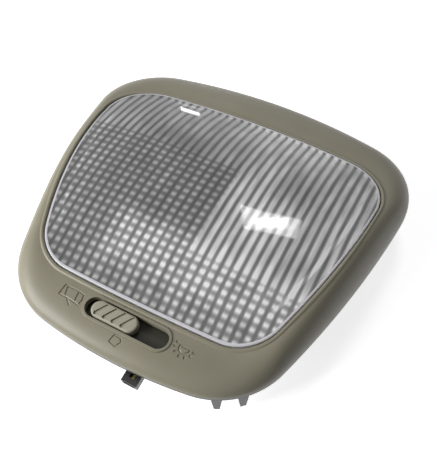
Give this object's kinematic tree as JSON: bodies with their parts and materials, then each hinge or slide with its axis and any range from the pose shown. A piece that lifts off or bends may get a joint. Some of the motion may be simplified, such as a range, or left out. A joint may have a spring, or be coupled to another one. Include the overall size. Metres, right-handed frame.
{
  "type": "car dome light",
  "caption": "Car interior dome light: a rounded four-sided moulded bezel round a clear fluted lens, with a slide switch in its wider edge and a reflector, festoon lamp and housing behind.",
  "frame": {"origin": "middle of the plane of the bezel's rim, which meets the roof lining", "axes": "+Z out through the lens, +X along the switch slot, +Y from the switch edge to the far edge; shown lying on its back with the lens up"},
  "size_m": [0.121, 0.1204, 0.0316],
  "materials": {
    "bezel_plastic": "satin",
    "lens_plastic": "polished",
    "silvered_plastic": "vacuum metallised",
    "housing_plastic": "satin",
    "black_plastic": "satin",
    "lamp_glass": "clear",
    "nickel": "nickel plated",
    "brass": "rolled strip",
    "spring_steel": "rolled strip"
  },
  "bodies": {
    "light_body": {"bezel": "bezel_plastic", "lens": "lens_plastic", "reflector": "silvered_plastic", "rear_housing": "housing_plastic", "lamp_glass": "lamp_glass", "lamp_cap_left": "nickel", "lamp_cap_right": "nickel", "lamp_filament": "nickel", "lamp_contact_left": "brass", "lamp_contact_right": "brass", "feed_strip": "brass", "switched_strip": "brass", "detent_spring": "spring_steel", "switch_base": "black_plastic", "connector_housing": "black_plastic", "terminal_feed": "brass", "terminal_door": "brass", "terminal_earth": "brass", "retaining_clip_left": "spring_steel", "retaining_clip_right": "spring_steel", "housing_screws": "spring_steel", "switch_screws": "spring_steel"},
    "slider": {"switch_knob": "bezel_plastic", "slider_carrier": "black_plastic", "contact_bridge": "brass"}
  },
  "joints": [
    {"name": "switch_slide", "type": "slide", "parent": "light_body", "child": "slider", "axis": [1, 0, 0], "range_m": [0, 0.0082]}
  ]
}
